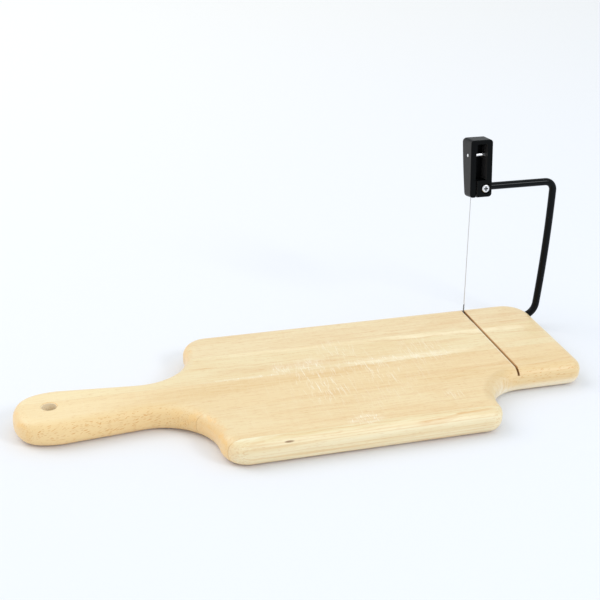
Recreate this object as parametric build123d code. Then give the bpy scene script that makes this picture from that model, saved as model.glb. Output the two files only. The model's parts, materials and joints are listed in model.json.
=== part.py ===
from build123d import *
import math
import os

# A cheese board with a wire cutter. Millimetres, +Z up, +X towards the end that holds the bow.
# The parts are first laid out with x = 0 at the wire slot, y = 0 at the board's back edge and
# z = 0 on its underside. The last step moves them all, so that the origin is at the bottom
# centre of the whole object with the bow raised.

# ---- board, driving sizes ----
board_thickness = 17.0
board_width = 138.0
right_end_x = 46.7
top_round = 7.0
bottom_round = 7.8
back_corner_radius = 18.3
front_corner_radius = 9.0

# The narrow part at the right leaves room in front of it for the grip and the hand.
narrow_front_y = -96.0
notch_wall_x = -27.4
notch_corner_radius = 10.5
notch_inner_radius = 30.3

shoulder_x = -184.0
shoulder_radius = 16.3
neck_radius = 33.8

handle_end_x = -311.7
handle_cap_length = 27.3
handle_half_width = 21.8
neck_half_width = 14.0
neck_x = -203.0
cap_fullness = 0.68

hanging_hole_x = -290.5
hanging_hole_radius = 4.4
hanging_hole_chamfer = 0.6

# The board is glued up from staves of one width, cut from the blank where its edges happen to be.
first_seam_y = -30.8
stave_width = 33.35
stave_count = 5

# ---- bow, driving sizes ----
rod_diameter = 5.0
running_clearance = 0.05
pivot_y = -7.9
pivot_z = board_thickness / 2
rod_lean = 2.35
wire_lean = 3.78
grip_lean = 8.6

pivot_leg_start_x = -5.0
pivot_bore_end_x = -5.6
lower_bend_start_x = 45.2
lower_bend_radius = 10.4
upper_bend_radius = 6.3
upright_splay_low = 5.2
upright_splay_high = 0.5
handle_leg_height = 99.15
handle_leg_end_x = 3.2

wire_diameter = 0.5
wire_fit = 0.02
wire_overlap = 0.1
wire_end_drop = 0.5
twist_diameter = 2 * wire_diameter
low_twist_start = 2.8
low_twist_end = 14.0
high_twist_start = 108.5
high_twist_end = 117.6
groove_width = 0.8
groove_depth = 0.3

# ---- slot in the board ----
slot_width = 1.25
slot_back_width = 1.7
slot_back_length = 17.0
slot_floor_front_z = 13.46
slot_floor_pivot_z = 7.2
slot_pocket_radius = 3.4
stop_gap = 0.35

# ---- grip, in its own frame: x as above, y to the back and z along the grip from the handle leg ----
grip_left_x = -5.2
grip_right_x = 11.65
grip_front_y = -5.8
grip_bottom_z = -6.5
grip_top_z = 32.9
grip_draft = 2.4
grip_back_low_y = 3.9
grip_back_middle_y = 6.7
grip_back_high_y = 8.35
grip_corner_radius = 2.8
grip_low_back_cut = 1.2
grip_top_back_radius = 3.0
grip_front_edge_radius = 0.6
grip_back_edge_radius = 1.7
smooth_cosine = 0.97
socket_end_x = 2.6

window_left_x = -0.1
window_right_x = 7.1
window_bottom_z = 5.4
window_top_z = 29.5
window_floor_y = 3.0
window_corner_radius = 1.0

channel_width = 1.4
channel_top_z = 24.0
channel_floor_y = 3.4
recess_left_x = -3.0
recess_depth = 0.5
recess_top_z = 22.6

pin_diameter = 2.4
pin_height = 121.0
pin_left_x = -4.8
pin_right_x = 9.6
pin_end_chamfer = 0.2
pin_fit = 0.02

screw_x = 6.8
screw_z = -0.35
screw_head_diameter = 5.4
screw_head_height = 1.9
screw_head_round = 0.7
screw_shank_diameter = 2.9
screw_hole_diameter = 3.0
screw_end_y = 3.2
screw_recess_arm = 3.0
screw_recess_width = 0.9
screw_recess_depth = 1.1
counterbore_diameter = 7.0
counterbore_depth = 1.9
counterbore_chamfer = 0.1

# ---- places that follow from the sizes above ----
middle_y = -board_width / 2
rod_radius = rod_diameter / 2
wire_radius = wire_diameter / 2
low_loop_radius = rod_radius - groove_depth + wire_radius + wire_fit
high_loop_radius = pin_diameter / 2 + wire_radius + wire_fit
pin_forward = high_loop_radius - wire_overlap


def along(angle, length):
    """A step of the given length in the direction of the angle, in degrees."""
    return Vector(math.cos(math.radians(angle)), math.sin(math.radians(angle))) * length


def arc_about(centre, radius, start, end):
    """A circular arc about a centre, between two angles in degrees."""
    return ThreePointArc(
        centre + along(start, radius),
        centre + along((start + end) / 2, radius),
        centre + along(end, radius),
    )


def angle_from(centre, point):
    """The direction from a centre to a point, in degrees."""
    step = point - centre
    return math.degrees(math.atan2(step.Y, step.X))


def shoulder_centres():
    """Centres of the shoulder arc and of the neck arc, for the back half, about the handle's axis."""
    slope = math.atan2(handle_half_width - neck_half_width, neck_x - handle_end_x - handle_cap_length)
    convex = Vector(shoulder_x, board_width / 2 - shoulder_radius)
    # The neck arc's centre lies on a line parallel to the handle's side, one neck radius outside it.
    side = Vector(math.cos(slope), -math.sin(slope))
    outward = Vector(math.sin(slope), math.cos(slope))
    start = Vector(neck_x, neck_half_width) + outward * neck_radius
    offset = start - convex
    reach = shoulder_radius + neck_radius
    middle = offset.dot(side)
    root = math.sqrt(middle**2 - offset.dot(offset) + reach**2)
    concave = start + side * (-middle - root)
    return convex, concave, outward


def half_handle(side):
    """The outline from the long edge to the handle's tip, on the back (+1) or front (-1) side."""
    convex, concave, outward = shoulder_centres()
    flip = 1 if side > 0 else -1
    centre_line = Vector(0, middle_y)

    def place(point):
        return centre_line + Vector(point.X, point.Y * flip)

    join_angle = angle_from(convex, concave) % 360
    neck_start = angle_from(concave, convex)
    neck_end = angle_from(Vector(0, 0), -outward)
    arcs = [
        (convex, shoulder_radius, 90, join_angle),
        (concave, neck_radius, neck_start, neck_end),
    ]
    edges = []
    for centre, radius, start, end in arcs:
        points = [centre + along(angle, radius) for angle in (start, (start + end) / 2, end)]
        edges.append(ThreePointArc(*[place(point) for point in points]))
    cap_x = handle_end_x + handle_cap_length
    straight_end = Vector(cap_x, handle_half_width)
    edges.append(Line(place(concave - outward * neck_radius), place(straight_end)))
    edges.append(
        Bezier(
            place(straight_end),
            place(Vector(cap_x - cap_fullness * handle_cap_length, handle_half_width)),
            place(Vector(handle_end_x, cap_fullness * handle_half_width)),
            place(Vector(handle_end_x, 0)),
        )
    )
    return edges


def board_outline():
    """The board seen from above."""
    back_corner = Vector(right_end_x - back_corner_radius, -back_corner_radius)
    front_corner = Vector(right_end_x - front_corner_radius, narrow_front_y + front_corner_radius)
    notch_inner = Vector(notch_wall_x + notch_inner_radius, narrow_front_y - notch_inner_radius)
    notch_corner = Vector(notch_wall_x - notch_corner_radius, notch_corner_radius - board_width)
    edges = [
        Line((shoulder_x, 0), (back_corner.X, 0)),
        arc_about(back_corner, back_corner_radius, 90, 0),
        Line((right_end_x, back_corner.Y), (right_end_x, front_corner.Y)),
        arc_about(front_corner, front_corner_radius, 0, -90),
        Line((front_corner.X, narrow_front_y), (notch_inner.X, narrow_front_y)),
        arc_about(notch_inner, notch_inner_radius, 90, 180),
        Line((notch_wall_x, notch_inner.Y), (notch_wall_x, notch_corner.Y)),
        arc_about(notch_corner, notch_corner_radius, 0, -90),
        Line((notch_corner.X, -board_width), (shoulder_x, -board_width)),
    ]
    return make_face(edges + half_handle(1) + half_handle(-1))


def upright_box(x_low, x_high, y_low, y_high, z_low, z_high):
    """A box given by its limits."""
    size = (x_high - x_low, y_high - y_low, z_high - z_low)
    centre = ((x_low + x_high) / 2, (y_low + y_high) / 2, (z_low + z_high) / 2)
    return Pos(*centre) * Box(*size)


def rod_along_x(radius, x_low, x_high, y=0.0, z=0.0):
    """A cylinder along X."""
    centre = ((x_low + x_high) / 2, y, z)
    return Pos(*centre) * Rot(0, 90, 0) * Cylinder(radius, x_high - x_low)


def slot_cutter():
    """The wire slot: closed at the back, where the raised wire stands, and open at the front.

    It is wider near the pivot, where the twist of the wire lies in it.
    """
    lean = math.tan(math.radians(wire_lean))
    wall = twist_diameter / 2 + stop_gap
    above = board_thickness - pivot_z + 2
    floor_at_pivot = slot_floor_pivot_z - pivot_z
    front = narrow_front_y - pivot_y - 2
    slope = (slot_floor_front_z - slot_floor_pivot_z) / (narrow_front_y - pivot_y)
    corners = [
        (wall + above * lean, above),
        (wall + floor_at_pivot * lean, floor_at_pivot),
        (0, floor_at_pivot),
        (front, floor_at_pivot + slope * front),
        (front, above),
    ]
    run = make_face(Polyline(*corners, close=True))
    back = run & Rectangle(2 * slot_back_length, 4 * board_thickness)
    cutter = None
    for profile, width in ((run, slot_width), (back + Circle(slot_pocket_radius), slot_back_width)):
        across = Plane(origin=(-width / 2, pivot_y, pivot_z), x_dir=(0, 1, 0), z_dir=(1, 0, 0))
        cutter = extrude(across * profile, width) + cutter
    return cutter


def make_board():
    """The whole board, with its rounded edges, slot, pivot bore and hanging hole."""
    board = extrude(board_outline(), board_thickness)
    board = fillet(board.faces().sort_by(Axis.Z)[-1].edges(), top_round)
    board = fillet(board.faces().sort_by(Axis.Z)[0].edges(), bottom_round)

    hole = Pos(hanging_hole_x, middle_y, board_thickness / 2) * Cylinder(hanging_hole_radius, board_thickness)
    board -= hole
    mouths = board.edges().filter_by(GeomType.CIRCLE)
    mouths = mouths.filter_by(lambda edge: abs(edge.radius - hanging_hole_radius) < 0.01)
    board = chamfer(mouths, hanging_hole_chamfer)

    bore_radius = rod_radius + running_clearance
    board -= rod_along_x(bore_radius, pivot_bore_end_x, right_end_x + 1, pivot_y, pivot_z)
    board -= slot_cutter()
    return board


def stave_limits():
    """Back and front limit of each stave, in Y."""
    seams = [first_seam_y - stave_width * step for step in range(stave_count - 1)]
    return list(zip([1.0] + seams, seams + [-board_width - 1.0]))


def lean_back(degrees):
    """The turn about X that leans an upright part back."""
    return Rot(-degrees, 0, 0)


def bow_frame(lean):
    """The frame at the pivot of a part that leans back by an angle."""
    return Pos(0, pivot_y, pivot_z) * lean_back(lean)


def grip_frame():
    """The frame of the grip: on the handle leg's axis, and leaning more than the rod."""
    return bow_frame(rod_lean) * Pos(0, 0, handle_leg_height) * lean_back(grip_lean - rod_lean)


def rod_path():
    """The rod's centre line in its own upright plane, as x and height above the pivot."""
    low = math.radians(upright_splay_low)
    high = math.radians(upright_splay_high)
    bends = lower_bend_radius * (1 - math.sin(low)) + upper_bend_radius * (1 + math.sin(high))
    bow_radius = (handle_leg_height - bends) / (math.sin(low) - math.sin(high))
    turns = [
        (lower_bend_radius, 90 - upright_splay_low),
        (bow_radius, upright_splay_low - upright_splay_high),
        (upper_bend_radius, 90 + upright_splay_high),
    ]
    point = Vector(lower_bend_start_x, 0)
    edges = [Line((pivot_leg_start_x, 0), point)]
    heading = 0.0
    for radius, turn in turns:
        centre = point + along(heading + 90, radius)
        start = heading - 90
        edges.append(arc_about(centre, radius, start, start + turn))
        heading += turn
        point = centre + along(heading - 90, radius)
    edges.append(Line(point, (handle_leg_end_x, point.Y)))
    return Plane.XZ * Wire(edges)


def make_rod():
    """The bow rod, with the wire's groove in one end and the screw's hole in the other."""
    start = Plane(origin=(pivot_leg_start_x, 0, 0), z_dir=(1, 0, 0))
    rod = sweep(start * Circle(rod_radius), path=rod_path())
    groove = rod_along_x(rod_radius + 1, -groove_width / 2, groove_width / 2)
    groove -= rod_along_x(rod_radius - groove_depth, -groove_width, groove_width)
    rod = bow_frame(rod_lean) * (rod - groove)
    hole = Rot(90, 0, 0) * Cylinder(screw_hole_diameter / 2, rod_diameter + 2)
    return rod - grip_frame() * Pos(screw_x, 0, screw_z) * hole


def upright_rod(radius, low, high):
    """A cylinder along Z between two heights."""
    return Pos(0, 0, (low + high) / 2) * Cylinder(radius, high - low)


def loop_around_x(radius):
    """A ring of wire around an axis along X. Its seam faces the front, where no wire joins it."""
    return Rot(-90, 0, 0) * Rot(0, 90, 0) * Torus(radius, wire_radius)


def make_wire():
    """The cutting wire: a loop and a twist at each end, and the straight run between them."""
    wire = upright_rod(wire_radius, low_loop_radius - wire_overlap, pin_height - wire_end_drop)
    wire += upright_rod(twist_diameter / 2, low_twist_start, low_twist_end)
    wire += upright_rod(twist_diameter / 2, high_twist_start, high_twist_end)
    wire += loop_around_x(low_loop_radius)
    wire += Pos(0, -pin_forward, pin_height) * loop_around_x(high_loop_radius)
    return bow_frame(wire_lean) * wire


def place_pin(pin):
    """The pin's solid, or the tool for its hole, where the wire holds it."""
    return bow_frame(wire_lean) * Pos(0, -pin_forward, pin_height) * pin


def make_pin():
    """The steel pin across the grip's window."""
    pin = rod_along_x(pin_diameter / 2, pin_left_x, pin_right_x)
    return place_pin(chamfer(pin.edges().filter_by(GeomType.CIRCLE), pin_end_chamfer))


def grip_side():
    """The grip seen from the side, as y and z: a wedge, thicker at its outer end."""
    cut_y = grip_back_low_y - grip_low_back_cut
    cut_z = grip_bottom_z + grip_low_back_cut
    low = (grip_front_y, grip_bottom_z)
    high = (grip_front_y, grip_top_z)
    side = make_face(
        [
            Line((cut_y, grip_bottom_z), low),
            Line(low, high),
            Line(high, (grip_back_high_y, grip_top_z)),
            ThreePointArc(
                (grip_back_high_y, grip_top_z),
                (grip_back_middle_y, (cut_z + grip_top_z) / 2),
                (grip_back_low_y, cut_z),
            ),
            Line((grip_back_low_y, cut_z), (cut_y, grip_bottom_z)),
        ]
    )
    top_back = side.vertices().group_by(Axis.Y)[-1].sort_by(Axis.X)[-1]
    return fillet(top_back, grip_top_back_radius)


def grip_face():
    """The grip's largest cross-section, seen from the front as x and z."""
    width = grip_right_x - grip_left_x
    height = grip_top_z - grip_bottom_z
    middle = ((grip_left_x + grip_right_x) / 2, (grip_bottom_z + grip_top_z) / 2)
    return Pos(*middle) * RectangleRounded(width, height, grip_corner_radius)


def sharp_edges(part):
    """The edges at which two faces meet at an angle, and not smoothly."""
    found = []
    faces = part.faces()
    for edge in part.edges():
        sides = [face for face in faces if any(edge.is_same(other) for other in face.edges())]
        normals = [face.normal_at(edge @ 0.5) for face in sides]
        if len(normals) == 2 and normals[0].dot(normals[1]) < smooth_cosine:
            found.append(edge)
    return found


def grip_blank():
    """The grip's outer shape: its side view, narrowing to the front, with all edges rounded."""
    across = Plane(origin=(grip_left_x - 1, 0, 0), x_dir=(0, 1, 0), z_dir=(1, 0, 0))
    prism = extrude(across * grip_side(), grip_right_x - grip_left_x + 2)
    back = Plane(origin=(0, grip_back_high_y, 0), x_dir=(1, 0, 0), z_dir=(0, -1, 0))
    depth = grip_back_high_y - grip_front_y
    blank = prism & extrude(back * grip_face(), depth, taper=grip_draft)
    blank = fillet(blank.faces().sort_by(Axis.Y)[0].edges(), grip_front_edge_radius)
    return fillet(sharp_edges(blank), grip_back_edge_radius)


def make_grip():
    """The grip moulding, cut for the rod, the screw, the pin and the wire."""
    grip = grip_blank()
    outside = grip_front_y - 1
    window = upright_box(
        window_left_x, window_right_x, outside, window_floor_y, window_bottom_z, window_top_z
    )
    window = fillet(window.edges().filter_by(Axis.Y), window_corner_radius)
    half_channel = channel_width / 2
    channel = upright_box(
        -half_channel, half_channel, outside, channel_floor_y, grip_bottom_z - 1, channel_top_z
    )
    recess = upright_box(
        recess_left_x, 0, outside, grip_front_y + recess_depth, window_bottom_z, recess_top_z
    )
    socket = rod_along_x(rod_radius + running_clearance, socket_end_x, grip_right_x + 1)
    grip = grip - window - channel - recess - socket

    counterbore_floor = grip_front_y + counterbore_depth
    screw_way = Rot(90, 0, 0)
    head_room = Cylinder(counterbore_diameter / 2, counterbore_depth + 1)
    head_room = Pos(screw_x, (outside + counterbore_floor) / 2, screw_z) * screw_way * head_room
    shank_length = screw_end_y - grip_front_y
    shank_room = Cylinder(screw_shank_diameter / 2 + pin_fit, shank_length)
    shank_room = Pos(screw_x, (grip_front_y + screw_end_y) / 2, screw_z) * screw_way * shank_room
    grip = grip - head_room - shank_room
    mouth = grip.edges().filter_by(GeomType.CIRCLE)
    mouth = mouth.filter_by(lambda edge: abs(edge.radius - counterbore_diameter / 2) < 0.01)
    grip = chamfer(mouth.sort_by(Axis.Y)[0].edges(), counterbore_chamfer)

    grip = grip_frame() * grip
    return grip - place_pin(rod_along_x(pin_diameter / 2 + pin_fit, grip_left_x - 2, pin_right_x))


def make_screw():
    """The clamp screw: a low round head with a cross recess, and a plain shank."""
    head_seat_y = grip_front_y + counterbore_depth
    head = Cylinder(screw_head_diameter / 2, screw_head_height)
    head = fillet(head.edges().sort_by(Axis.Z)[-1:], screw_head_round)
    head = Pos(0, head_seat_y - screw_head_height / 2, 0) * Rot(90, 0, 0) * head
    shank_length = screw_end_y - head_seat_y
    shank = Cylinder(screw_shank_diameter / 2, shank_length)
    shank = Pos(0, (head_seat_y + screw_end_y) / 2, 0) * Rot(90, 0, 0) * shank
    recess_y = head_seat_y - screw_head_height + screw_recess_depth / 2
    arm = Box(screw_recess_arm, screw_recess_depth, screw_recess_width)
    cross = Pos(0, recess_y, 0) * (arm + Rot(0, 90, 0) * arm)
    screw = head + shank - cross
    return grip_frame() * Pos(screw_x, 0, screw_z) * screw


def make_parts():
    """Every part by name, before the move to the origin."""
    parts = {}
    board = make_board()
    for number, (back, front) in enumerate(stave_limits(), start=1):
        slab = upright_box(handle_end_x - 1, right_end_x + 1, front, back, -1, board_thickness + 1)
        parts[f"board_stave_{number}"] = board & slab
    parts["bow_rod"] = make_rod()
    parts["cutting_wire"] = make_wire()
    parts["grip_body"] = make_grip()
    parts["wire_pin"] = make_pin()
    parts["clamp_screw"] = make_screw()
    return parts


parts = make_parts()
bounds = Compound(children=[Compound(part.solids()) for part in parts.values()]).bounding_box()
middle = bounds.center()
to_origin = Pos(-middle.X, -middle.Y, -bounds.min.Z)

os.makedirs("parts", exist_ok=True)
for name, part in parts.items():
    solids = (to_origin * part).solids()
    export_step(solids[0] if len(solids) == 1 else Compound(solids), f"parts/{name}.step")

print("size", bounds.size)
for name, point in {
    "slot at the back edge": Vector(0, 0, 0),
    "pivot": Vector(0, pivot_y, pivot_z),
    "hanging hole": Vector(hanging_hole_x, middle_y, board_thickness / 2),
}.items():
    print(name, to_origin.position + point)
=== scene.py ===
import json
import math

import bpy
from mathutils import Matrix, Vector


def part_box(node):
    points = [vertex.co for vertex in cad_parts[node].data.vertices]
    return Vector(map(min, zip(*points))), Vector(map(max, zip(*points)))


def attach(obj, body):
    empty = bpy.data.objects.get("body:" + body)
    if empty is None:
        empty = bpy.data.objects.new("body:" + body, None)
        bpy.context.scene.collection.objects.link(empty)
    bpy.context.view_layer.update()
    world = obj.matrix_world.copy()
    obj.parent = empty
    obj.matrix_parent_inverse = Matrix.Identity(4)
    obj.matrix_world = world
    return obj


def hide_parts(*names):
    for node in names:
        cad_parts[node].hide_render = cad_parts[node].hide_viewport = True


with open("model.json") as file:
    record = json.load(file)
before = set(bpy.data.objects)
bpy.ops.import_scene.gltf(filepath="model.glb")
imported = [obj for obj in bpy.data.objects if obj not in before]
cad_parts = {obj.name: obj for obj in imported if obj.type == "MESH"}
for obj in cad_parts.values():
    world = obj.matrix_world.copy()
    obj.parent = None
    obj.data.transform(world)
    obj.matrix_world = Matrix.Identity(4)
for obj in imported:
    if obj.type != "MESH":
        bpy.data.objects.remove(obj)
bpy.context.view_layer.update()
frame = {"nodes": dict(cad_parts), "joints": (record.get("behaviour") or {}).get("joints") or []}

# A cheese board with a hinged wire bow. The CAD nodes carry the shapes. This script gives them
# their materials, winds the real wire, and adds the stage, the lights and the camera.

nodes = frame["nodes"]
MM = 0.001
STAVES = [f"board_stave_{number}" for number in range(1, 6)]

# The board's own frame, in which its wood is described: x = 0 at the wire slot, y = 0 at the
# back edge and z = 0 underneath.
slot_x = (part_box("cutting_wire")[0].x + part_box("cutting_wire")[1].x) / 2
back_edge_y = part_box("board_stave_1")[1].y
board_origin = Vector((slot_x, back_edge_y, 0.0))
board_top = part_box("board_stave_3")[1].z / MM
pivot = Vector(frame["joints"][0]["pos_m"])
pivot_y = (pivot.y - back_edge_y) / MM

# Places in that frame, in mm, as the model has them: the slot floor's z at the pivot's y and its
# slope along y, the centre of the cut-out's inner arc, and the hanging hole.
slot_floor_pivot = 7.2
slot_floor_slope = -0.071
cut_out_centre = (2.9, -126.3)
hanging_hole = (-290.5, -69.0)

# The screw crosses the handle leg near the leg's axis, at right angles to the grip. Places are in
# mm from the pivot, and leans are in degrees. screw_head_top is how far out the head's face lies.
rod_lean = 2.35
grip_lean = 8.6
handle_leg_height = 99.15
screw_off_leg = (-0.05, -0.35)
screw_place = (
    (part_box("clamp_screw")[0].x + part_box("clamp_screw")[1].x) / 2 / MM - pivot.x / MM,
    handle_leg_height * math.sin(math.radians(rod_lean)) + screw_off_leg[0],
    handle_leg_height * math.cos(math.radians(rod_lean)) + screw_off_leg[1],
)
screw_head_top = 5.8


# ---------------------------------------------------------------- material graphs


def srgb(red, green, blue):
    """A colour given as on a screen, from 0 to 255, as Blender's linear numbers."""
    def linear(value):
        value /= 255
        return value / 12.92 if value <= 0.04045 else ((value + 0.055) / 1.055) ** 2.4
    return (linear(red), linear(green), linear(blue), 1.0)


class Signal:
    """One value that varies over a surface. It adds and multiplies like a plain number."""

    def __init__(self, graph, socket):
        self.graph = graph
        self.socket = socket

    def __add__(self, other):
        return self.graph.math("ADD", self, other)

    def __radd__(self, other):
        return self.graph.math("ADD", other, self)

    def __sub__(self, other):
        return self.graph.math("SUBTRACT", self, other)

    def __rsub__(self, other):
        return self.graph.math("SUBTRACT", other, self)

    def __mul__(self, other):
        return self.graph.math("MULTIPLY", self, other)

    def __rmul__(self, other):
        return self.graph.math("MULTIPLY", other, self)

    def __truediv__(self, other):
        return self.graph.math("DIVIDE", self, other)

    def __abs__(self):
        return self.graph.math("ABSOLUTE", self, 0.0)


class Graph:
    """The node tree of one material, around one Principled shader."""

    def __init__(self, name):
        self.material = bpy.data.materials.new(name)
        self.material.use_nodes = True
        self.nodes = self.material.node_tree.nodes
        self.links = self.material.node_tree.links
        self.nodes.clear()
        self.shader = self.nodes.new("ShaderNodeBsdfPrincipled")
        output = self.nodes.new("ShaderNodeOutputMaterial")
        self.links.new(self.shader.outputs["BSDF"], output.inputs["Surface"])
        self.object_place = self.nodes.new("ShaderNodeTexCoord").outputs["Object"]

    def feed(self, socket, value):
        """Gives a socket a constant or a signal."""
        if isinstance(value, Signal):
            self.links.new(value.socket, socket)
        else:
            socket.default_value = value

    def set(self, **values):
        """Sets the shader's sockets; an underscore stands for a space in a socket's name."""
        for name, value in values.items():
            self.feed(self.shader.inputs[name.replace("_", " ")], value)

    def math(self, operation, first, second=0.0):
        node = self.nodes.new("ShaderNodeMath")
        node.operation = operation
        self.feed(node.inputs[0], first)
        self.feed(node.inputs[1], second)
        return Signal(self, node.outputs[0])

    def smooth(self, value, start, end):
        """Goes softly from 0 to 1 while the value goes from start to end, which may be the lower."""
        node = self.nodes.new("ShaderNodeMapRange")
        node.interpolation_type = "SMOOTHSTEP"
        self.feed(node.inputs["Value"], value)
        self.feed(node.inputs["From Min"], start)
        self.feed(node.inputs["From Max"], end)
        return Signal(self, node.outputs["Result"])

    def split(self, vector_socket):
        node = self.nodes.new("ShaderNodeSeparateXYZ")
        self.links.new(vector_socket, node.inputs[0])
        return [Signal(self, output) for output in node.outputs]

    def join(self, x, y, z):
        node = self.nodes.new("ShaderNodeCombineXYZ")
        for socket, value in zip(node.inputs, (x, y, z)):
            self.feed(socket, value)
        return Signal(self, node.outputs[0])

    def place_mm(self, origin):
        """x, y and z in millimetres from an origin given in metres."""
        shift = self.nodes.new("ShaderNodeVectorMath")
        shift.operation = "SUBTRACT"
        self.links.new(self.object_place, shift.inputs[0])
        shift.inputs[1].default_value = origin
        scale = self.nodes.new("ShaderNodeVectorMath")
        scale.operation = "SCALE"
        self.links.new(shift.outputs[0], scale.inputs[0])
        scale.inputs["Scale"].default_value = 1 / MM
        return self.split(scale.outputs[0])

    def normal(self):
        return self.split(self.nodes.new("ShaderNodeNewGeometry").outputs["Normal"])

    def noise(self, vector, detail=2.0, roughness=0.5):
        """Smooth noise about 0.5, with features about one unit of the vector apart."""
        node = self.nodes.new("ShaderNodeTexNoise")
        self.feed(node.inputs["Vector"], vector)
        node.inputs["Scale"].default_value = 1.0
        node.inputs["Detail"].default_value = detail
        node.inputs["Roughness"].default_value = roughness
        return Signal(self, node.outputs[0])

    def noise_line(self, value, detail):
        """The same along one number."""
        node = self.nodes.new("ShaderNodeTexNoise")
        node.noise_dimensions = "1D"
        self.feed(node.inputs["W"], value)
        node.inputs["Scale"].default_value = 1.0
        node.inputs["Detail"].default_value = detail
        node.inputs["Roughness"].default_value = 0.5
        return Signal(self, node.outputs[0])

    def cells(self, vector):
        """Distance to the nearest of many scattered points, and a random number for each point."""
        node = self.nodes.new("ShaderNodeTexVoronoi")
        self.feed(node.inputs["Vector"], vector)
        node.inputs["Scale"].default_value = 1.0
        pick = self.nodes.new("ShaderNodeSeparateColor")
        self.links.new(node.outputs["Color"], pick.inputs[0])
        return Signal(self, node.outputs["Distance"]), Signal(self, pick.outputs[0])

    def blend(self, factor, first, second):
        """A colour between two colours."""
        node = self.nodes.new("ShaderNodeMix")
        node.data_type = "RGBA"
        node.clamp_factor = True
        self.feed(node.inputs[0], factor)
        self.feed(node.inputs[6], first)
        self.feed(node.inputs[7], second)
        return Signal(self, node.outputs[2])

    def bump(self, height, depth_mm):
        """Raises the surface by the height, where 1 stands for a depth in millimetres."""
        node = self.nodes.new("ShaderNodeBump")
        node.inputs["Distance"].default_value = depth_mm * MM
        self.feed(node.inputs["Height"], height)
        self.links.new(node.outputs["Normal"], self.shader.inputs["Normal"])


def dress(material, *names):
    """Gives CAD nodes a material."""
    for name in names:
        for holder in nodes[name].material_slots:
            holder.material = material


# ---------------------------------------------------------------- wood

# Each stave comes from another place in the tree. pith is the log's centre, in y from the stave's
# middle and in z, and drift is how far it moves per mm along the board. rings is the usual
# distance between two growth bands. Colours are those of the pale and the darker bands.
WOOD = {
    "board_stave_1": dict(
        contrast=0.5, seed=3.1, pith=(-14.0, -46.0), drift=(0.02, 0.055), rings=5.5,
        pale=srgb(235, 215, 173), warm=srgb(225, 193, 144), pores=0.5,
    ),
    "board_stave_2": dict(
        contrast=0.5, seed=7.7, pith=(4.0, -30.0), drift=(-0.012, -0.075), rings=6.5,
        pale=srgb(235, 217, 174), warm=srgb(228, 198, 147), pores=0.42,
    ),
    "board_stave_3": dict(
        contrast=0.5, seed=12.4, pith=(-24.0, -60.0), drift=(0.01, 0.04), rings=7.5,
        pale=srgb(234, 209, 162), warm=srgb(224, 191, 136), pores=0.52,
    ),
    "board_stave_4": dict(
        contrast=0.5, seed=21.9, pith=(12.0, -38.0), drift=(0.0, 0.05), rings=6.0,
        pale=srgb(235, 213, 168), warm=srgb(227, 193, 141), pores=0.5,
    ),
    "board_stave_5": dict(
        contrast=0.9, seed=33.3, pith=(-9.0, -12.0), drift=(0.012, 0.03), rings=3.6,
        pale=srgb(241, 230, 194), warm=srgb(228, 204, 153), pores=0.46,
    ),
}

pore_color = srgb(200, 140, 74)
coarse_pore_color = srgb(212, 148, 74)
tan_color = srgb(218, 174, 118)
pale_color = srgb(248, 232, 194)
handle_color = srgb(253, 232, 184)
left_end_color = srgb(243, 204, 146)
right_end_color = srgb(236, 220, 172)
mottle_color = srgb(246, 198, 124)
front_lit_color = srgb(241, 200, 133)
contact_shade_color = srgb(232, 164, 116)
seam_color = srgb(176, 126, 72)
knot_color = srgb(124, 80, 46)
scuff_and_highlight_color = srgb(255, 251, 236)
shaded_color = srgb(208, 178, 128)
cut_out_reflection_color = srgb(250, 243, 224)
floor_reflection_color = srgb(250, 240, 214)
kerf_color = srgb(148, 104, 56)
slot_edge_color = srgb(190, 134, 78)
hole_painted_light_color = srgb(250, 238, 214)

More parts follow.
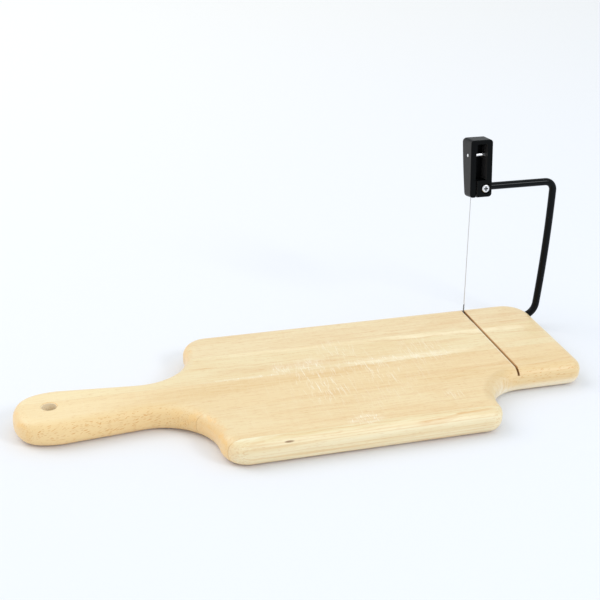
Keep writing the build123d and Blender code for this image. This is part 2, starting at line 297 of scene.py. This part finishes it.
# Lines in the figure of the wood, in mm in the board's frame: from x, to x, y halfway, how far y
# rises from there to the end, how far both ends lie above the middle, half width and strength.
PALE_LINES = {
    "board_stave_2": [
        (-200, -50, -33.6, -1.0, 0.5, 3.2, 0.45),
        (-80, 46, -36.0, -3.0, 0.8, 4.0, 0.8),
        (-112, -2, -60.6, 0.0, 0.0, 4.2, 0.42),
        (-4, 47, -57.0, 0.0, 0.0, 8.0, 0.12),
    ],
    "board_stave_5": [(-186, -40, -136.0, 0.6, 0.0, 2.6, 0.5)],
}
DARK_LINES = {
    "board_stave_1": [
        (-200, -110, -31.2, 0.0, 0.4, 0.9, 0.5),
        (-40, 44, -21.0, 1.5, 1.2, 2.2, 0.35),
        (-24, 42, -28.2, 0.6, -0.6, 1.0, 0.45),
        (-96, -66, -21.5, 0.3, 0.2, 0.7, 0.45),
        (-180, -60, -14.5, 0.8, -0.6, 1.6, 0.25),
    ],
    "board_stave_2": [
        (-86, -24, -37.6, -1.5, 3.0, 0.85, 0.6),
        (-28, 47, -43.0, -5.2, 1.8, 0.85, 0.55),
        (-214, -118, -47.8, -1.7, 3.0, 0.9, 0.4),
        (-122, -84, -50.2, -5.3, -1.8, 0.9, 0.45),
        (-200, -96, -54.0, -1.0, 1.0, 5.5, 0.35),
        (-70, -10, -45.5, 0.0, -1.0, 2.4, 0.25),
    ],
    "board_stave_3": [
        (-190, 40, -68.5, 0.0, 0.0, 4.0, 0.15),
        (-90, 30, -84.0, 2.0, 3.0, 3.0, 0.3),
        (-170, -70, -93.0, 0.0, -2.0, 2.0, 0.25),
        (4, 47, -88.0, 3.0, 1.0, 1.3, 0.4),
    ],
    "board_stave_4": [
        (-180, -60, -107.0, 1.0, 1.5, 1.8, 0.22),
        (-150, -40, -126.5, -1.0, 1.0, 1.4, 0.3),
        (-140, -34, -129.3, 0.4, 0.3, 0.6, 0.45),
        (-176, -110, -123.4, 0.6, 0.4, 0.7, 0.35),
        (-110, -34, -119.0, 1.0, -1.0, 1.1, 0.3),
    ],
    "board_stave_5": [
        (-92, -30, -134.6, 1.6, -0.6, 1.1, 1.0),
        (-90, -56, -136.4, 0.6, 0.3, 0.6, 0.7),
        (-187, -176, -135.0, 0.5, 0.0, 0.9, 0.4),
        (-184, -70, -132.6, 0.5, 0.5, 0.6, 0.5),
        (-172, -96, -134.8, 0.4, 0.2, 0.5, 0.5),
        (-120, -30, -131.9, 0.3, -0.3, 0.5, 0.5),
    ],
}

# Where knives have worked, in mm in the board's frame: centre x and y, half length and half width.
KNIFE_PATCHES = [
    (-126.0, -76.0, 20.0, 32.0),
    (-146.0, -57.0, 10.0, 10.0),
    (-114.0, -127.0, 13.0, 9.0),
    (-104.0, -40.0, 16.0, 14.0),
    (-46.0, -54.0, 22.0, 22.0),
    (-86.0, -74.0, 16.0, 20.0),
    (-52.0, -113.0, 8.0, 7.0),
]
# The wider area with fewer cuts, whitish scuffs, and the knot: the same.
USED_AREA = (-104.0, -78.0, 62.0, 44.0)
SCUFFS = [
    (-146.0, -57.0, 8.0, 8.0),
    (-128.0, -56.0, 16.0, 9.0),
    (-78.0, -61.0, 40.0, 5.5),
    (-170.0, -63.5, 34.0, 1.8),
    (-114.0, -127.5, 13.0, 6.5),
    (-40.0, -61.0, 14.0, 5.0),
]
KNOT = (-163.0, -136.3, 3.4, 0.5)

# Sets of straight marks: degrees from straight across the board, spacing and reach in mm, seed,
# share of the marks that are kept, width as a share of the spacing, and strength.
KNIFE_STROKES = [
    (-9, 0.6, 20, 1.0, 0.8, 0.28, 0.75),
    (-4, 0.55, 15, 2.0, 0.8, 0.3, 0.65),
    (0, 1.1, 44, 3.0, 0.8, 0.24, 0.85),
    (5, 0.9, 20, 4.0, 0.7, 0.26, 0.75),
]
SCUFF_STROKES = [
    (9, 0.9, 13, 5.0, 0.75, 0.3, 1.0),
    (-12, 1.1, 10, 6.0, 0.7, 0.3, 1.0),
]


def patch(g, x, y, centre_x, centre_y, half_x, half_y):
    """1 inside a soft oval and 0 outside it."""
    across = (x - centre_x) / half_x
    along = (y - centre_y) / half_y
    return g.smooth(across * across + along * along, 1.1, 0.2)


def grain_line(g, x, y, start, end, level, rise, bend, half_width, strength):
    """The strength along a gently curved line in the figure, and 0 away from it."""
    way = (x - (start + end) / 2) / ((end - start) / 2)
    centre = way * (way * bend + rise) + level
    near = g.smooth(abs(y - centre), half_width, half_width * 0.2)
    return g.smooth(abs(way), 1.0, 0.55) * near * strength


def highest(g, signals):
    """The greatest of some signals."""
    top = signals[0]
    for signal in signals[1:]:
        top = g.math("MAXIMUM", top, signal)
    return top


def strokes(g, x, y, degrees, spacing, reach, seed, keep, width, strength):
    """Thin straight marks that run nearly across the board: their strength, and 0 beside them."""
    turn = math.radians(degrees)
    across = x * math.cos(turn) + y * math.sin(turn)
    along = y * math.cos(turn) - x * math.sin(turn)
    distance, pick = g.cells(g.join(across / spacing, along / reach, seed))
    return g.smooth(distance, width, width * 0.4) * g.smooth(pick, keep, keep - 0.02) * strength


def dashes(g, x, y, z, length, width, shift, share, crowd):
    """Open pores: short marks along the grain. share is the part of the pores that are open."""
    distance, pick = g.cells(g.join(x / length + shift, y / width, z / width + shift))
    return g.smooth(distance, 0.3, 0.12) * g.smooth(pick + crowd, 1.5 - share, 1.6 - share)


def figure(g, place, name):
    """The wood's own colour: growth bands, streaks, fibres and the lines that stand out."""
    x, y, z = place
    look = WOOD[name]
    seed = look["seed"]
    low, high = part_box(name)
    middle_y = ((low.y + high.y) / 2 - back_edge_y) / MM

    # growth bands about the pith, a little crooked
    wander_y = (g.noise(g.join(x / 90, y / 30 + seed, z / 30)) - 0.5) * 9
    wander_z = (g.noise(g.join(x / 110 + 5, y / 26 - seed, z / 26)) - 0.5) * 12
    from_pith_y = y - middle_y - look["pith"][0] - x * look["drift"][0] + wander_y
    from_pith_z = z - look["pith"][1] - x * look["drift"][1] + wander_z
    radius = g.math("SQRT", from_pith_y * from_pith_y + from_pith_z * from_pith_z)
    bands = g.smooth(g.noise_line(radius / look["rings"] + seed * 3, detail=3.0), 0.32, 0.68)

    # long streaks, fine fibres and tan flecks, and a paler handle
    streaks = g.noise(g.join(x / 48, y / 1.5 + seed, z / 1.5), detail=4.0, roughness=0.65)
    fibres = g.noise(g.join(x / 9, y / 0.42, z / 0.42 + seed), detail=2.0, roughness=0.7)
    mix = bands * look["contrast"] + (streaks - 0.5) * 1.7 + (fibres - 0.5) * 0.9
    color = g.blend(mix, look["pale"], look["warm"])
    flecks = g.noise(g.join(x / 17, y / 0.9 + seed, z / 0.9 - seed), detail=3.0)
    color = g.blend(g.smooth(flecks, 0.54, 0.72) * 0.45, color, tan_color)
    color = g.blend(g.smooth(x, -190, -290) * 0.45, color, handle_color)

    # the lines that stand out, ragged at their edges
    ragged_y = y + (g.noise(g.join(x / 16, y / 4 + seed, z / 4), detail=3.0) - 0.5) * 2.6
    broken = g.smooth(g.noise(g.join(x / 12, y / 1.1 - seed, z / 1.1), detail=2.0), 0.3, 0.62)
    for lines, tone in ((PALE_LINES, pale_color), (DARK_LINES, tan_color)):
        if name in lines:
            drawn = highest(g, [grain_line(g, x, ragged_y, *line) for line in lines[name]])
            color = g.blend(drawn * (broken * 0.55 + 0.45), color, tone)
    return color, streaks, fibres, broken


def ends_and_front(g, place, name, color):
    """End grain is deeper in tone. The front faces carry painted light: a brighter, warmer tone,
    pale on the front strip, which is partly that strip's own colour. The seams show.
    """
    x, y, z = place
    seed = WOOD[name]["seed"]
    low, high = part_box(name)
    normal_x, normal_y, _ = g.normal()
    end = g.smooth(abs(normal_x), 0.3, 0.95)
    color = g.blend(g.smooth(normal_x, -0.3, -0.95) * 0.7, color, left_end_color)
    color = g.blend(g.smooth(normal_x, 0.3, 0.95) * 0.6, color, right_end_color)
    mottle = g.smooth(g.noise(g.join(x / 5, y / 6, z / 4 + seed), detail=3.0), 0.45, 0.65)
    color = g.blend(g.smooth(normal_x, -0.15, -0.6) * mottle * 0.4, color, mottle_color)

    from_back = abs(y - (high.y - back_edge_y) / MM)
    from_front = abs(y - (low.y - back_edge_y) / MM)
    seam = g.smooth(g.math("MINIMUM", from_back, from_front), 0.3, 0.1)
    color = g.blend(seam * (end * 0.5 + 0.08), color, seam_color)

    # painted light: front-facing surfaces are blended towards a brighter tone, standing in for the
    # light falling on them; part of it is the wood's own warmer, paler front tone
    facing = g.smooth(normal_y, -0.25, -0.9)
    front_lit_tone = pale_color if name == "board_stave_5" else front_lit_color
    color = g.blend(facing * (g.smooth(x, -10, 0) * -0.33 + 0.45), color, front_lit_tone)
    if name == "board_stave_5":
        lines = g.noise(g.join(x / 110, y / 0.8 - seed, z / 0.8), detail=2.0)
        color = g.blend(g.smooth(lines, 0.5, 0.64) * facing * 0.4, color, tan_color)
    return color, end, facing


def open_pores(g, place, name, color, facing):
    """Short dashes along the grain, coarser and slanted on the front of the handle and right end."""
    x, y, z = place
    seed = WOOD[name]["seed"]
    share = WOOD[name]["pores"]
    crowd = g.noise(g.join(x / 40, y / 5 + seed, z / 5), detail=2.0)
    pores = highest(g, [
        dashes(g, x, y, z, 5.0, 0.6, seed, share + 0.04, crowd) * 0.5,
        dashes(g, x, y, z, 9.0, 0.8, -seed, share, crowd) * 0.5,
        dashes(g, x, y, z, 4.5, 0.9, seed * 2, share - 0.26, crowd) * 0.5,
    ])
    if name == "board_stave_5":
        pores = pores * 0.5
    color = g.blend(pores * (facing * 0.4 + 0.6), color, pore_color)
    waves_z = z - x * 0.28 + (g.noise(g.join(x / 9, y / 9, z / 9)) - 0.5) * 4
    coarse = highest(g, [
        dashes(g, x, y, waves_z, 7.0, 1.1, seed + 2, 0.66, crowd),
        dashes(g, x, y, waves_z, 5.0, 0.8, seed + 5, 0.66, crowd),
    ])
    open_grain = highest(g, [g.smooth(x, -190, -215), g.smooth(x, -6, 4)]) * facing
    return g.blend(coarse * open_grain * 0.75, color, coarse_pore_color), pores


def worked_top(g, x, y, on_top, color):
    """The fine cuts of knives, and whitish scuffs."""
    cuts = highest(g, [strokes(g, x, y, *marks) for marks in KNIFE_STROKES])
    worked = highest(g, [patch(g, x, y, *area) for area in KNIFE_PATCHES])
    used = patch(g, x, y, *USED_AREA)
    cuts = cuts * on_top * (worked * 0.62 + used * 0.26 + 0.1)
    scuffed = highest(g, [patch(g, x, y, *area) for area in SCUFFS])
    short_marks = highest(g, [strokes(g, x, y, *marks) for marks in SCUFF_STROKES])
    smear = g.smooth(g.noise(g.join(x / 5, y / 2.4, 7.0), detail=3.0), 0.35, 0.7)
    scuffs = scuffed * on_top * (short_marks * 0.65 + smear * 0.3)
    wear = highest(g, [cuts * 0.8, scuffs * 0.8])
    return g.blend(wear, color, scuff_and_highlight_color), cuts, wear


def cut_out(g, place, color):
    """The inner curve of the cut-out: painted shade on the end grain above, a painted pale
    reflection below, and a painted reflection of the floor on the lower front edge.
    """
    x, y, z = place
    reach_x = x - cut_out_centre[0]
    reach_y = y - cut_out_centre[1]
    reach = g.math("SQRT", reach_x * reach_x + reach_y * reach_y)
    inner = g.smooth(x, -2, -14) * g.smooth(y, -128, -120)
    # painted shade on the end grain near the top of the inner curve
    color = g.blend(inner * g.smooth(reach, 39.5, 36.0) * 0.35, color, shaded_color)
    # painted reflection: a pale streaked patch low on the inner curve
    reflection_streaks = g.smooth(g.noise(g.join(x / 1.6, y / 1.6, z / 9), detail=3.0), 0.25, 0.7)
    lower = g.smooth(z, 14, 5) * 0.65 + 0.35
    color = g.blend(inner * g.smooth(reach, 34.0, 31.0) * reflection_streaks * lower * 0.9, color, cut_out_reflection_color)
    # painted reflection of the floor along the lower front edge of the narrow part
    under = g.smooth(y, -90, -94) * g.smooth(x, -20, -12) * g.smooth(z, 9, 4)
    return g.blend(under * 0.75, color, floor_reflection_color)


def sawn_slot(g, place, on_top, color):
    """The slot is browned, most at its ends; its left edge carries a painted highlight and its right
    edge is warm.
    """
    x, y, z = place
    floor = slot_floor_pivot + (y - pivot_y) * slot_floor_slope - g.smooth(y, -13, -12) * 2.3
    kerf = g.smooth(abs(x), 0.92, 0.86) * g.smooth(z - floor, -0.25, -0.1)
    ends = g.smooth(y, -30, -12) + g.smooth(y, -84, -92)
    color = g.blend(kerf * (ends * 0.45 + 0.35), color, kerf_color)
    # painted highlight: a thin light line along the slot's left edge on the top
    color = g.blend(g.smooth(abs(x + 0.9), 0.35, 0.1) * on_top * 0.45, color, scuff_and_highlight_color)
    return g.blend(g.smooth(abs(x - 0.9), 0.65, 0.3) * on_top * 0.8, color, slot_edge_color)


def wood_material(name):
    """Pale hardwood: its figure, ends and pores, then the marks of use and of the saw, with painted
    light and shade on the fronts, the bottom edge, the cut-out, the slot's left edge and the hanging
    hole.
    """
    g = Graph(name)
    place = g.place_mm(board_origin)
    x, y, z = place
    on_top = g.smooth(z, board_top - 0.5, board_top - 0.05)
    color, streaks, fibres, broken = figure(g, place, name)
    color, end, facing = ends_and_front(g, place, name, color)
    color, pores = open_pores(g, place, name, color, facing)
    # painted shade: the lowest 3 mm darken towards a reddish brown, standing in for the contact
    # shade where the board meets the floor
    color = g.blend(g.smooth(z, 3.2, 0.6) * 0.4, color, contact_shade_color)
    color, cuts, wear = worked_top(g, x, y, on_top, color)
    knot = patch(g, x, y, *KNOT) * g.smooth(z, 9, 10)
    color = g.blend(knot * (broken * 0.4 + 0.4), color, knot_color)
    color = cut_out(g, place, color)
    color = sawn_slot(g, place, on_top, color)
    # painted light: the hanging hole's walls are painted paler than the wood, standing in for the
    # light that reaches into it
    hole_x = x - hanging_hole[0]
    hole_y = y - hanging_hole[1]
    in_hole = g.smooth(hole_x * hole_x + hole_y * hole_y, 21.0, 20.0)
    color = g.blend(in_hole * 0.75, color, hole_painted_light_color)

    roughness = 0.37 + wear * 0.25 + pores * 0.1 + (streaks - 0.5) * 0.1 - end * 0.05
    g.bump((fibres - 0.5) * 0.2 - pores * 0.2 - cuts * 0.25, 0.1)
    g.set(Base_Color=color, Roughness=roughness, IOR=1.45)
    return g.material


# ---------------------------------------------------------------- metals and plastic


def satin_black():
    """Black lacquer on the rod: a little uneven, and satin."""
    g = Graph("satin_black")
    x, y, z = g.place_mm(pivot)
    flow = g.noise(g.join(x / 1.6, y / 1.6, z / 1.6), detail=3.0)
    dust = g.noise(g.join(x / 0.25, y / 0.25, z / 0.25), detail=2.0)
    g.set(
        Base_Color=g.blend(flow, srgb(4, 6, 8), srgb(7, 10, 13)),
        Roughness=0.13 + flow * 0.08,
        IOR=1.22,
    )
    g.bump(flow * 0.6 + dust * 0.4, 0.006)
    return g.material


def moulded_plastic():
    """The grip's black plastic, with the fine grain of its mould."""
    g = Graph("moulded_plastic")
    x, y, z = g.place_mm(pivot)
    grain = g.noise(g.join(x / 0.22, y / 0.22, z / 0.22), detail=3.0, roughness=0.65)
    cloud = g.noise(g.join(x / 5, y / 5, z / 5), detail=2.0)
    dark = g.blend(cloud, srgb(3, 5, 6), srgb(6, 8, 9))
    # the left side is painted lighter, standing in for the light from the left, and partly it is
    # dulled by wear
    left_lit_and_worn = g.smooth(g.normal()[0], -0.6, -0.95) * (cloud * 0.5 + 0.7)
    g.set(
        Base_Color=g.blend(left_lit_and_worn, dark, srgb(54, 53, 53)),
        Roughness=0.28 + grain * 0.12,
        IOR=1.18,
    )
    g.bump(grain, 0.035)
    return g.material


def plated_steel():
    """The pin and the screw: bright, with fine turned marks, and painted shade in the screw's
    recess.
    """
    g = Graph("bright_steel")
    x, y, z = g.place_mm(pivot)
    marks = g.noise(g.join(x / 0.3, y / 0.3, z / 0.3), detail=3.0)
    across = x - screw_place[0]
    back = y - screw_place[1]
    up = z - screw_place[2]
    lean = math.radians(grip_lean)
    outward = up * math.sin(lean) - back * math.cos(lean)
    upward = back * math.sin(lean) + up * math.cos(lean)
    # the painted shade lies below the head's face and within about 1.7 mm of the axis
    from_axis_squared = across * across + upward * upward
    sunk = g.smooth(outward, screw_head_top - 0.08, screw_head_top - 0.3)
    recess_shade = sunk * g.smooth(from_axis_squared, 3.2, 2.9)
    color = g.blend(marks, (0.9, 0.9, 0.9, 1.0), (0.76, 0.76, 0.77, 1.0))
    g.set(
        Base_Color=g.blend(recess_shade * 0.92, color, (0.05, 0.05, 0.045, 1.0)),
        Metallic=1.0,
        Roughness=0.2 + marks * 0.16 + recess_shade * 0.3,
    )
    g.bump(marks, 0.004)
    return g.material


def drawn_steel():
    """The wire: drawn along its length, and darker and rougher at its foot, up to the top of the
    lower twist.
    """
    g = Graph("wire_steel")
    x, y, z = g.place_mm(pivot)
    marks = g.noise(g.join(x / 0.05, y / 0.05, z / 2.0), detail=3.0)
    darker_foot = g.smooth(z, low_twist[1] + 0.6, low_twist[1] - 0.4)
    color = g.blend(marks, (0.66, 0.66, 0.66, 1.0), (0.54, 0.54, 0.55, 1.0))
    g.set(
        Base_Color=g.blend(darker_foot * 0.85, color, (0.17, 0.17, 0.17, 1.0)),
        Metallic=1.0,
        Roughness=0.28 + marks * 0.14 + darker_foot * 0.2,
    )
    g.bump(marks, 0.004)
    return g.material


# ---------------------------------------------------------------- the wound wire

# In mm, in a frame that leans with the wire, up from the pivot: a twist is given by its two ends.
wire_radius = 0.25
wire_lean = math.radians(3.78)
low_loop_radius = 2.47
low_twist = (3.6, 14.0)
high_loop_radius = 1.47
high_twist = (108.5, 116.9)
pin_height = 121.0
pin_forward = 1.37
twist_turn_length = 2.3
sample_step = 0.12


def helix(start, end, phase):
    """One strand of a twist, from one height to another, as (x, forward, up)."""
    count = max(2, round(abs(end - start) / sample_step))
    points = []
    for index in range(count + 1):
        height = start + (end - start) * index / count
        angle = phase + math.tau * (height - min(start, end)) / twist_turn_length
        points.append((wire_radius * math.cos(angle), wire_radius * math.sin(angle), height))
    return points


def circle_arc(forward, up, radius, start, end):
    """An arc in the bow's middle plane. Angles are in degrees from straight forward, upwards."""
    count = max(4, round(abs(math.radians(end - start)) * radius / sample_step))
    points = []
    for index in range(count + 1):
        angle = math.radians(start + (end - start) * index / count)
        points.append((0.0, forward + radius * math.cos(angle), up + radius * math.sin(angle)))
    return points


def wire_route():
    """The whole wire: round the rod, twisted, straight up, round the pin and twisted again."""
    touch = math.degrees(math.acos(low_loop_radius / low_twist[0]))
    top_reach = math.hypot(pin_forward, pin_height - high_twist[1])
    top_touch = math.degrees(math.acos(high_loop_radius / top_reach))
    towards_twist = math.degrees(math.atan2(high_twist[1] - pin_height, -pin_forward))
    front_touch = towards_twist + top_touch
    route = helix(low_twist[1], low_twist[0], 0.0)
    route += circle_arc(0, 0, low_loop_radius, 90 - touch, touch - 270)
    route += helix(low_twist[0], low_twist[1], math.pi)
    route += [(0.0, 0.0, low_twist[1] + 1.2), (0.0, 0.0, high_twist[0] - 1.2)]
    route += helix(high_twist[0], high_twist[1], math.pi)
    route += circle_arc(pin_forward, pin_height, high_loop_radius, 190, front_touch)
    route += helix(high_twist[1], high_twist[0], 0.0)
    return route


def bow_point(x, forward, up):
    """A point of the leaning wire's frame, in mm, in the row frame."""
    back = up * math.sin(wire_lean) - forward * math.cos(wire_lean)
    height = up * math.cos(wire_lean) + forward * math.sin(wire_lean)
    return pivot + Vector((x, back, height)) * MM


def tube(name, points, radius, sides=10):
    """A round tube with closed ends along a line of points."""
    count = len(points)
    ways = []
    for index in range(count):
        ways.append((points[min(index + 1, count - 1)] - points[max(index - 1, 0)]).normalized())
    across = ways[0].orthogonal().normalized()
    vertices = []
    for point, way in zip(points, ways):
        across = (across - way * across.dot(way)).normalized()
        other = way.cross(across)
        for side in range(sides):
            angle = math.tau * side / sides
            vertices.append(point + (across * math.cos(angle) + other * math.sin(angle)) * radius)
    faces = [tuple(range(sides))[::-1], tuple(range((count - 1) * sides, count * sides))]
    for ring in range(count - 1):
        for side in range(sides):
            after = (side + 1) % sides
            here = ring * sides
            faces.append((here + side, here + after, here + sides + after, here + sides + side))
    mesh = bpy.data.meshes.new(name)
    mesh.from_pydata(vertices, [], faces)
    mesh.polygons.foreach_set("use_smooth", [len(face) == 4 for face in faces])
    piece = bpy.data.objects.new(name, mesh)
    bpy.context.scene.collection.objects.link(piece)
    return piece


def make_wire(material):
    piece = tube("wound_wire", [bow_point(*point) for point in wire_route()], wire_radius * MM)
    piece.data.materials.append(material)
    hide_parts("cutting_wire")
    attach(piece, "bow")


# ---------------------------------------------------------------- stage, lights and camera


def make_floor():
    """A large pale sheet under the object, with painted shade: a little greyer and bluer towards the
    right front.
    """
    half = 6.0
    corners = [(-half, -half, 0), (half, -half, 0), (half, half, 0), (-half, half, 0)]
    mesh = bpy.data.meshes.new("floor")
    mesh.from_pydata(corners, [], [(0, 1, 2, 3)])
    floor = bpy.data.objects.new("floor", mesh)
    bpy.context.scene.collection.objects.link(floor)
    g = Graph("floor")
    x, y, _ = g.place_mm(Vector((0, 0, 0)))
    # painted shade: the floor darkens and cools towards the right front, standing in for the light
    # falling off there
    shade = g.smooth(x * 0.4 - y * 0.7, -1000, 450)
    color = g.blend(shade, (0.94, 0.935, 0.92, 1.0), (0.8, 0.826, 0.885, 1.0))
    g.set(Base_Color=color, Roughness=0.9, Specular_IOR_Level=0.2)
    mesh.materials.append(g.material)


def make_light(name, place, target, size, power, color):
    """A square soft light that points at a target."""
    lamp = bpy.data.lights.new(name, "AREA")
    lamp.shape = "SQUARE"
    lamp.size = size
    lamp.energy = power
    lamp.color = color
    holder = bpy.data.objects.new(name, lamp)
    holder.location = place
    holder.rotation_mode = "QUATERNION"
    holder.rotation_quaternion = (Vector(target) - Vector(place)).to_track_quat("-Z", "Y")
    bpy.context.scene.collection.objects.link(holder)


def make_lights():
    world = bpy.data.worlds.new("soft_tent")
    world.use_nodes = True
    sky = world.node_tree.nodes["Background"]
    sky.inputs["Color"].default_value = (0.94, 0.975, 1.0, 1.0)
    sky.inputs["Strength"].default_value = 0.88
    bpy.context.scene.world = world
    make_light("left", (-1.8, 0.9, 2.2), (0, 0.3, 0), 2.0, 24, (1.0, 0.985, 0.965))
    make_light("front", (0.95, -1.1, 1.07), (0.17, 0.06, 0.1), 0.45, 7, (0.94, 0.975, 1.0))


def make_camera():
    """The camera stands in front, to the left and above, and is turned a little about its axis."""
    azimuth = math.radians(-17.103)
    elevation = math.radians(25.306)
    roll = math.radians(1.649)
    place = board_origin + Vector((-0.32380, -0.67096, 0.36723))
    level = math.cos(elevation)
    back = Vector((math.sin(azimuth) * level, -math.cos(azimuth) * level, math.sin(elevation)))
    right = Vector((math.cos(azimuth), math.sin(azimuth), 0.0))
    up = back.cross(right)
    rolled_right = right * math.cos(roll) + up * math.sin(roll)
    rolled_up = back.cross(rolled_right)
    data = bpy.data.cameras.new("camera")
    data.sensor_width = 36.0
    data.lens = 69.51
    data.clip_start = 0.01
    data.clip_end = 50.0
    camera = bpy.data.objects.new("camera", data)
    turn = Matrix((rolled_right, rolled_up, back)).transposed()
    camera.matrix_world = Matrix.Translation(place) @ turn.to_4x4()
    bpy.context.scene.collection.objects.link(camera)
    bpy.context.scene.camera = camera


bpy.context.scene.view_settings.view_transform = "Standard"
make_camera()
make_lights()
make_floor()
for stave in STAVES:
    dress(wood_material(stave), stave)
dress(satin_black(), "bow_rod")
dress(moulded_plastic(), "grip_body")
dress(plated_steel(), "clamp_screw", "wire_pin")
make_wire(drawn_steel())
